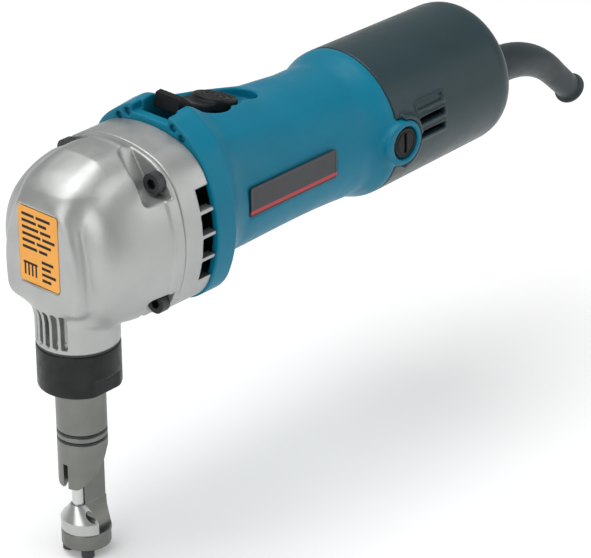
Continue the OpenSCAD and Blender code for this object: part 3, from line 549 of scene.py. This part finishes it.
def motor_housing(x, y, z):
    r, side = radius(y, z, BODY_Z), np.abs(y)
    angle = np.arctan2(side, z - AXIS_Z)
    # flange that flares out of the grip: a short fillet at the sides, a long ramp on top
    rim = np.interp(angle, FLANGE_ANGLE, FLANGE_R) + (AXIS_Z - BODY_Z) * np.cos(angle)
    waist = curve(x, [(40, GRIP_R), (66, GRIP_R), (142, GRIP_R), (149, GRIP_R + 0.5),
                      (154, COVER_R - 1.6), (158, COVER_R - 0.3), (161, COVER_R), (175, COVER_R)])
    ramp = np.interp(x, [45, 57, 64, 96, 106, 111, 123, 135, 147],
                     [1, 1.07, 0.84, 0.41, 0.27, 0.21, 0.14, 0.05, 0])
    fillet = np.clip(1 - (x - 55.5) / 17, 0, 1) ** 2
    share = np.clip((np.radians(78) - angle) / np.radians(44), 0, 1)
    share = share * share * (3 - 2 * share)
    flare = np.clip(fillet + (ramp - fillet) * share, 0, 1.1)
    body = (r - waist - (rim - waist) * flare) * 0.8
    body = smax(body, span(x, FLANGE_X + 0.1, COVER_X), 0.5)
    # bosses of the brushes, blending forward into the body
    across = np.hypot(np.where(x > BRUSH_X, x - BRUSH_X, (x - BRUSH_X) * 0.85), z - AXIS_Z)
    boss = smax(across - 10 - 0.06 * (35.6 - side), side - 35.6, 1.1)
    boss = smax(boss, 20 - side, 1)
    body = smin(body, boss, 2)
    # hollow
    inner = curve(x, [(44, 33.5), (58, 33.3), (64.8, 31.7), (71, 29.3), (78, 27.4), (134, 27.4),
                      (146, 27.8), (170, 27.8)])
    inner = np.minimum(inner, waist - 2 + (rim - waist) * flare)
    bore = np.maximum((r - inner) * 0.95, span(x, 40, COVER_X + 2))
    fan = prism(crowned(y, z, DRUM_Y_HALF - 2.8, DRUM_Z_HALF - 2.8), x, 40, 54)
    body = np.maximum(body, -np.minimum(bore, fan))
    # tail in the rear cover, and the rear bearing's web on two struts
    axis_r, web_end = radius(y, z), 187
    tail = np.maximum(np.abs(axis_r - 27.9) - 1.1, span(x, COVER_X - 6, 174))
    web = np.maximum(np.maximum(axis_r - 24, 9.5 - axis_r), span(x, 176, web_end))
    for part in (-1, 1):
        strut = np.maximum(side - 2.5, np.abs(z - AXIS_Z - part * 25) - 3)
        web = np.minimum(web, np.maximum(strut, span(x, COVER_X, web_end)))
    body = np.minimum(body, np.minimum(tail, web))
    # the lever's slot and the gap in front of it, the pad's round recess and the scoop behind it
    slot = smax(side - 9.4, span(x, 49.8, 76), 1)
    slot = np.maximum(slot, 92 - z)
    front = np.maximum(np.maximum(side - 10.4, x - 51), 103.7 - z)
    cup = smax(np.hypot(x - PAD_X, y) - 10.6, 95.2 - 0.3 * (x - PAD_X) - z, 1.5)
    scoop = np.hypot(np.maximum(np.abs(x - 92) - 6, 0), y) - 7.9
    scoop = smax(scoop, 95.2 - 0.34 * (x - 92) - z, 2)
    dish = (np.hypot((x - 72) * 0.8, np.maximum(side - 4, 0)) - 10.5) * 0.8
    dish = smax(dish, 98.6 - 0.3 * (x - 72) + 0.35 * np.maximum(side - 8, 0) - z, 3)
    cut = np.minimum(np.minimum(slot, cup), np.minimum(smin(scoop, dish, 1), front))
    body = smax(body, -cut, 0.9)
    through = np.maximum(np.maximum(side - 3.8, span(x, 69.5, 89)), span(z, 84, 110))
    body = np.maximum(body, -through)
    # two small holes in each ear's front
    for hole_y, hole_z in ((13.1, 103.0), (18.0, 99.7)):
        hole = np.hypot(side - hole_y, z - hole_z) - 1.8
        body = smax(body, -np.maximum(hole, x - 47.5), 0.2)
    # screw bosses, the name plate's recess and the brushes' bores
    seat_r = screw_distance(y, z)
    body = np.minimum(body, np.maximum(seat_r - 4.6, span(x, 48, 56)))
    body = np.maximum(body, -np.maximum(seat_r - 2.6, x - 55.5))
    plate = rect2(x - PLATE_X, z - 64.4, 27.3, 7.5, 1.8)
    body = smax(body, -np.maximum(plate, y + 28.9), 0.5)
    brush = brush_distance(x, z)
    body = np.minimum(body, np.maximum(brush - 9.8, span(side, 24, 30)))
    body = smax(body, -np.maximum(brush - 7.6, CAP_RECESS_Y - side), 0.5)
    return np.maximum(body, -np.maximum(brush - 6.2, 10 - side))


def rear_cover(x, y, z):
    r, side = radius(y, z, BODY_Z), np.abs(y)
    outer = COVER_R - 0.018 * (x - COVER_X)
    body = prism(r - outer, x, COVER_X + 0.35, REAR_X, 0.3)
    body = smax(body, (x - REAR_X) * 0.98, 11)
    # raised half ring behind each brush boss
    ring = smax(smax(brush_distance(x, z) - 12.4, side - 34.9, 1), BRUSH_X + 0.2 - x, 0.5)
    body = smin(body, smax(ring, 25 - side, 1), 1.5)
    hollow = prism(r - outer + 2.8, x, 100, REAR_X - 3.4, 8)
    body = np.maximum(body, -hollow)
    # room for the motor housing's brush bosses
    across = np.hypot(np.where(x > BRUSH_X, x - BRUSH_X, 0), z - AXIS_Z)
    body = smax(body, -np.maximum(across - 10.35, 20 - side), 0.4)
    # intake slots with raised lips; the top one is closed
    for k in range(3):
        level = VENT_Z + VENT_PITCH * k
        lip = rect2(x - VENT_X, z - level, 9.6, 2.7, 1.4)
        shell = np.maximum(np.abs(r - outer + 0.1) - 0.8, lip)
        body = smin(body, np.maximum(shell, 25 - side), 0.5)
        slot = np.maximum(rect2(x - VENT_X, z - level - 0.35, 8.5, 1.5, 0.7), 25 - side)
        if k == 2:
            slot = np.maximum(slot, outer - 0.6 - r)
        body = smax(body, -slot, 0.35)
    # the guard's hole and the two screws' counterbores in the end wall
    body = np.maximum(body, -np.maximum(np.hypot(y, z - GUARD_Z) - 8.7, 220 - x))
    return np.maximum(body, -np.maximum(np.hypot(side - 14, z - 77) - 3.6, REAR_X - 2.2 - x))


def brush_caps(x, y, z):
    side, r = np.abs(y), brush_distance(x, z)
    body = smax(r - 6.8, span(side, CAP_RECESS_Y + 0.12, 35.1), 0.7)
    body = smax(body, -np.maximum(np.abs(r - 5.3) - 0.35, 34.8 - side), 0.2)
    slot = np.maximum(rect2(x - BRUSH_X, z - AXIS_Z, 0.8, 4.6, 0.3), 33.8 - side)
    return smax(body, -slot, 0.2)


# ---------------------------------------------------------------- plates
def name_plate(x, y, z):
    outline = rect2(x - PLATE_X, z - 64.3, 26.4, 6.7, 1.4)
    plate = smax(outline, span(y, -30.1, -29.05), 0.35)
    sunk = np.maximum(outline + 0.9, y + 29.95)
    return smax(plate, -sunk, 0.1)


def front_label(x, y, z):
    outline = rect2(y, z - LABEL_Z, 11.4, 16.9, 1.7)
    plate = smax(outline, span(x, FRONT_X + 0.12, FRONT_X + 0.75), 0.1)
    return smax(plate, -np.maximum(outline + 0.7, x - FRONT_X - 0.2), 0.1)


def label_marks():
    """Rows of plain bars and a comb in place of lettering, as (y, z, half width, half height)."""
    marks = []
    bar, left, right, gap = 0.62, -9.3, 9.6, 1.1
    for row in range(6):
        start = left
        for word in range(3):
            half = 2.4 + 1.7 * ((row * 5 + word * 3) % 4) / 3 + (1.2 if word == 0 else 0)
            if start + 2 * half < right:
                marks.append((start + half, 13.6 - 2.95 * row, half, bar))
            start += 2 * half + gap
    # the comb's teeth and back, with short bars beside it
    marks += [(-8.4 + 2.1 * tooth, -11.2, 0.45, 2.6) for tooth in range(4)]
    marks.append((-5.2, -8.2, 4.0, 0.5))
    for k, half in enumerate((3.4, 2.6, 4.0, 2.6)):
        marks.append((1.4 + half, -5.6 - 2.7 * k, half, bar))
    return [(-y, z, a, b) for y, z, a, b in marks]


BOX_FACES = ((0, 3, 2, 1), (4, 5, 6, 7), (0, 1, 5, 4), (1, 2, 6, 5), (2, 3, 7, 6), (3, 0, 4, 7))


def label_print():
    """The marks as thin raised boxes."""
    points, faces = [], []
    for y, z, a, b in label_marks():
        base = len(points)
        for x in (FRONT_X + 0.21, FRONT_X + 0.14):
            points += [(x, y + u, LABEL_Z + z + v) for u, v in ((-a, -b), (a, -b), (a, b), (-a, b))]
        faces += [[base + i for i in face] for face in BOX_FACES]
    return add_mesh("front_label_print", points, faces, smooth=False)


# ---------------------------------------------------------------- switch lever and cord guard
def switch_lever(x, y, z):
    top = np.interp(x, [54.5, 56.0, 58.6, 63.5, 71, 80], [104.0, 110.4, 110.7, 106.2, 102.9, 101.6])
    low = np.interp(x, [54.5, 60, 82], [104.0, 100.6, 97.4])
    arm = smax((z - top) * 0.8, (low - z) * 0.95, 0.8)
    arm = smax(arm, np.abs(y) - 7.1, 0.8)
    arm = smax(arm, x - LEVER_END_X, 0.5)
    # round pad that slopes down to the rear, with ridges in rings that fade at its edge
    back = x - PAD_X
    tilt = z + 0.30 * back
    pad_r = np.hypot(back, y)
    pad = smax(pad_r - 9.3, np.abs(tilt - 97.7) - 3.5, 1.0)
    ridge = 0.45 * np.cos(2 * math.pi * np.hypot(back * 1.25, y * 0.9) / 2.7)
    ridge = ridge * np.clip((8.6 - pad_r) / 0.8, 0, 1)
    pad = np.maximum(pad, (tilt - 101.05 - ridge) * 0.8)
    foot = prism(rect2(x - LEVER_END_X, y, 6, 3, 0.5), z, 88.6, 95.5)
    return np.minimum(smin(arm, pad, 1.2), foot)


def guard_path():
    """Places and downward angles along the guard's middle, in mm and radians."""
    straight = np.linspace(228, BEND_X, 14, endpoint=False)
    turn = np.linspace(0, BEND, 46)
    run = np.linspace(0, TIP, 12)[1:]
    x = [straight, BEND_X + BEND_R * np.sin(turn),
         BEND_X + BEND_R * math.sin(BEND) + run * math.cos(BEND)]
    z = [GUARD_Z + 0 * straight, GUARD_Z - BEND_R * (1 - np.cos(turn)),
         GUARD_Z - BEND_R * (1 - math.cos(BEND)) - run * math.sin(BEND)]
    angle = [0 * straight, turn, BEND + 0 * run]
    return (np.concatenate(v) for v in (x, z, angle))


def cord_guard():
    """Rings down the outside, over the flanged end's lip and back up the bore, joined in a loop."""
    xs, zs, angles = guard_path()
    length = np.concatenate([[0], np.cumsum(np.hypot(np.diff(xs), np.diff(zs)))])
    outer = curve(length, [(0, 8.5), (14, 8.5), (30, 8.5), (48, 8.2), (64, 7.4), (80, 6.4),
                           (length[-1], 5.9)])
    end_x, end_z, end_angle = xs[-1], zs[-1], angles[-1]

    def from_end(ring):
        return math.hypot(ring[0] - end_x, ring[1] - end_z)

    def at_end(back, r):
        return end_x - back * math.cos(end_angle), end_z + back * math.sin(end_angle), end_angle, r

    rings = [ring for ring in zip(xs, zs, angles, outer) if from_end(ring) > 3.6]
    lip = [(3.0, 5.95), (2.35, 6.15), (2.05, 6.8), (1.8, 7.25), (1.2, 7.4), (0.5, 7.35), (0.1, 7.0),
           (0.0, 6.5), (0.0, 4.3), (0.3, 3.85), (1.2, GUARD_BORE_R)]
    rings += [at_end(back, r) for back, r in lip]
    bore = [(x, z, a, GUARD_BORE_R) for x, z, a in zip(xs, zs, angles)]
    rings += [ring for ring in bore if from_end(ring) > 2.2][::-1]
    around = 56
    points, faces = [], []
    for x, z, a, r in rings:
        for k in range(around):
            t = 2 * math.pi * k / around
            side, up = r * math.cos(t), r * math.sin(t)
            points.append((x + up * math.sin(a), side, z + up * math.cos(a)))
    for i in range(len(rings)):
        j = (i + 1) % len(rings)
        for k in range(around):
            m = (k + 1) % around
            faces.append((i * around + k, i * around + m, j * around + m, j * around + k))
    return add_mesh("cord_guard_boot", points, faces)


# ---------------------------------------------------------------- die holder, die and nut
def die_holder(x, y, z):
    r = np.hypot(x, y)
    # shank with two ring grooves, its upper end in the neck and the collar under the nut
    tube = np.maximum(r - SHANK_R, span(z, NOSE_Z, 0))
    for level in (-21.7, -25.2):
        tube = smax(tube, -(np.hypot(r - SHANK_R, z - level) - 0.75), 0.15)
    tube = np.minimum(tube, np.maximum(r - 10.4, span(z, -1, 8.4)))
    tube = np.minimum(tube, np.maximum(r - 13, span(z, 3.1, 6.2)))
    # the back of the nose slopes away, which leaves the spine standing
    slope_z = [NOSE_Z - 1, NOSE_Z, NOSE_Z + 10.2, NOSE_Z + 16.2, NOSE_Z + 20]
    cut = (np.interp(z, slope_z, [-9, -9, 0.6, 4.9, 11]) - x) * 0.72
    cut = np.maximum(cut, z - (NOSE_Z + 21))
    tube = smax(tube, -cut, 0.4)
    spine = np.maximum(np.abs(y) - 2, span(x, -2, 10.2))
    spine = smax(spine, span(z, FOOT_Z + 2, NOSE_Z + 22), 0.2)
    body = smin(tube, spine, 0.9)
    foot = smax(r - FOOT_R, span(z, FOOT_Z, -69.2), 0.8)
    flare = curve(z, [(-70, 7.2), (-67, 4.6), (-63.5, 2.9), (-60, 2.2), (-56, 2.0)])
    heel = np.maximum(np.maximum(np.abs(y) - flare, r - FOOT_R), -1.9 - x)
    heel = np.maximum(heel, span(z, -71, -58))
    body = smin(smin(body, heel, 0.5), foot, 1.0)
    # the punch holder's bore, the punch's hole, the slot in front of it and the bolts' holes
    bore = np.maximum(r - 7, span(z, -34, 20))
    hole = np.maximum(np.hypot(x - PUNCH_X, y) - PUNCH_HOLE_R, span(z, -60, -20))
    bore = np.minimum(bore, hole)
    slot = np.maximum(np.abs(y) - 1.3, np.maximum(x + 7.5, span(z, NOSE_Z - 1, NOSE_Z + 11)))
    body = smax(body, -slot, 0.3)
    bolts = np.maximum(np.hypot(x + 4.9, np.abs(y) - 5.6) - 1.5, z + 60)
    return np.maximum(np.maximum(body, -bore), -bolts)


def die(x, y, z):
    # cone from the round base to the ring round the punch
    t = np.clip((z - DIE_CONE_Z) / 7.2, 0, 1)
    cone = (np.hypot(x - PUNCH_X * t, y) - (FOOT_R + (DIE_RING_R - FOOT_R) * t)) * 0.70
    body = np.where(z < DIE_CONE_Z, np.hypot(x, y) - FOOT_R, cone)
    body = np.maximum(body, span(z, -69.15, DIE_Z))
    body = smax(body, x + 2.2, 0.25)
    # the punch's hole and the window where the chips leave
    body = np.maximum(body, -np.maximum(np.hypot(x - PUNCH_X, y) - PUNCH_HOLE_R, -66 - z))
    chip = np.hypot((x - PUNCH_X - 0.2) / 0.78, z + 61.4) - 2.2
    return smax(body, -chip, 0.25)


def lock_nut(x, y, z):
    r = np.hypot(x, y)
    body = smax(r - NECK_R, span(z, 0, NUT_H - 0.15), 0.9)
    flat = np.maximum(np.maximum(16.1 - np.abs(y), np.abs(x) - 8.6), z - 7.4)
    body = smax(body, -flat, 0.5)
    # a bore in three steps, for the shank, its collar and the neck's end
    body = np.maximum(body, -np.maximum(r - SHANK_R - 0.05, span(z, -2, 30)))
    body = np.maximum(body, -np.maximum(r - 13.2, span(z, 3, 30)))
    return np.maximum(body, -np.maximum(r - 14.45, span(z, 6.6, 30)))


# ---------------------------------------------------------------- build
skin("gear_housing_cast", gear_housing, (-22, -39, 4), (28.5, 39, 104.5), 0.62,
     "root", "cast_aluminium", "gear_housing")
skin("gear_cover_cast", gear_cover, (25.5, -39, 23.5), (46, 39, 103), 0.55,
     "root", "cast_aluminium", "gear_housing_cover")
skin("motor_housing_moulding", motor_housing, (43.5, -41, 22), (188, 41, 112), 0.72,
     "root", "blue_plastic", "motor_housing")
skin("rear_cover_moulding", rear_cover, (159, -38, 26), (243.5, 38, 99), 0.7,
     "root", "charcoal_plastic", "rear_cover")
skin("brush_caps_moulded", brush_caps, (155, -37, 53), (173, 37, 71), 0.3,
     "root", "black_plastic", "brush_caps")
skin("name_plate_printed", name_plate, (71.5, -31.5, 55.5), (127.5, -28, 73), 0.25,
     "root", "dark_plate", "name_plate")
stand_for(label_print(), "root", "black_plastic")
skin("front_label_printed", front_label, (-21, -13, 49.5), (-18.4, 13, 86.5), 0.25,
     "root", "orange_label", "front_label")
skin("switch_lever_moulding", switch_lever, (52, -11, 86), (95, 11, 112), 0.3,
     "switch", "black_plastic", "switch_lever")
stand_for(cord_guard(), "root", "black_rubber", "cord_guard")
skin("die_holder_turned", die_holder, (-14, -14, -78), (14, 14, 10), 0.3,
     "die_holder", "holder_steel", "die_holder")
skin("die_ground", die, (-12, -12, -70.2), (-1, 12, -56), 0.2,
     "die_holder", "polished_steel", "die")
skin("lock_nut_turned", lock_nut, (-19, -19, -1), (19, 19, 21), 0.4,
     "lock_nut", "black_oxide", "lock_nut")

SLOTS = {row["node"]: row["material_slot"] for row in frame["record"]["subparts"]}
for node, piece in frame["nodes"].items():
    coat(piece, SLOTS[node])

# ---------------------------------------------------------------- stage, light, camera; metres
TARGET, DISTANCE = Vector((0.1311, 0.0, -0.0027)), 1.746
VIEW_FORWARD = Vector((0.64911, 0.61255, -0.45103))
VIEW_RIGHT = Vector((0.68150, -0.73170, -0.01293))
LENS_MM, SENSOR_MM = 243.65, 36.0
LIGHT_AIM = Vector((0.1, 0, 0.03))
FLOOR_GAP = 0.0005


def add_camera():
    data = bpy.data.cameras.new("camera")
    data.lens, data.sensor_width = LENS_MM, SENSOR_MM
    camera = bpy.data.objects.new("camera", data)
    bpy.context.collection.objects.link(camera)
    forward, right = VIEW_FORWARD.normalized(), VIEW_RIGHT.normalized()
    up = right.cross(forward)
    camera.location = TARGET - forward * DISTANCE
    rotation = np.array([right, up, -forward]).T
    camera.matrix_world = Matrix.Translation(camera.location) @ Matrix(rotation.tolist()).to_4x4()
    bpy.context.scene.camera = camera


def add_floor():
    bpy.ops.mesh.primitive_plane_add(size=12, location=(0, 0, cad_box[0][2] - FLOOR_GAP))
    floor = bpy.context.object
    floor.name = "floor"
    p = Paint("floor_paper", (0.93, 0.93, 0.93), 0.75)
    p.tone(p.noise(3, 3), 0.3, 0.7, 0.99, 1.01)
    p.set(p.shader, "Emission Color", (1, 1, 1, 1))
    p.set(p.shader, "Emission Strength", 0.12)
    floor.data.materials.append(p.material)


def add_light(name, location, size, power):
    data = bpy.data.lights.new(name, "AREA")
    data.energy, data.size = power, size
    light = bpy.data.objects.new(name, data)
    bpy.context.collection.objects.link(light)
    light.location = location
    light.rotation_euler = (LIGHT_AIM - Vector(location)).to_track_quat("-Z", "Y").to_euler()


add_camera()
add_floor()
add_light("key_top", (-0.1, 0.25, 1.5), 1.3, 17)
add_light("front_left", (-1.3, -0.3, 0.7), 0.9, 6)
add_light("right_fill", (0.9, -1.3, 0.6), 1.2, 5)
world = bpy.data.worlds.new("studio")
world.use_nodes = True
background = world.node_tree.nodes["Background"]
background.inputs["Color"].default_value = (1, 1, 1, 1)
background.inputs["Strength"].default_value = 0.42
bpy.context.scene.world = world
bpy.context.scene.view_settings.view_transform = "Standard"
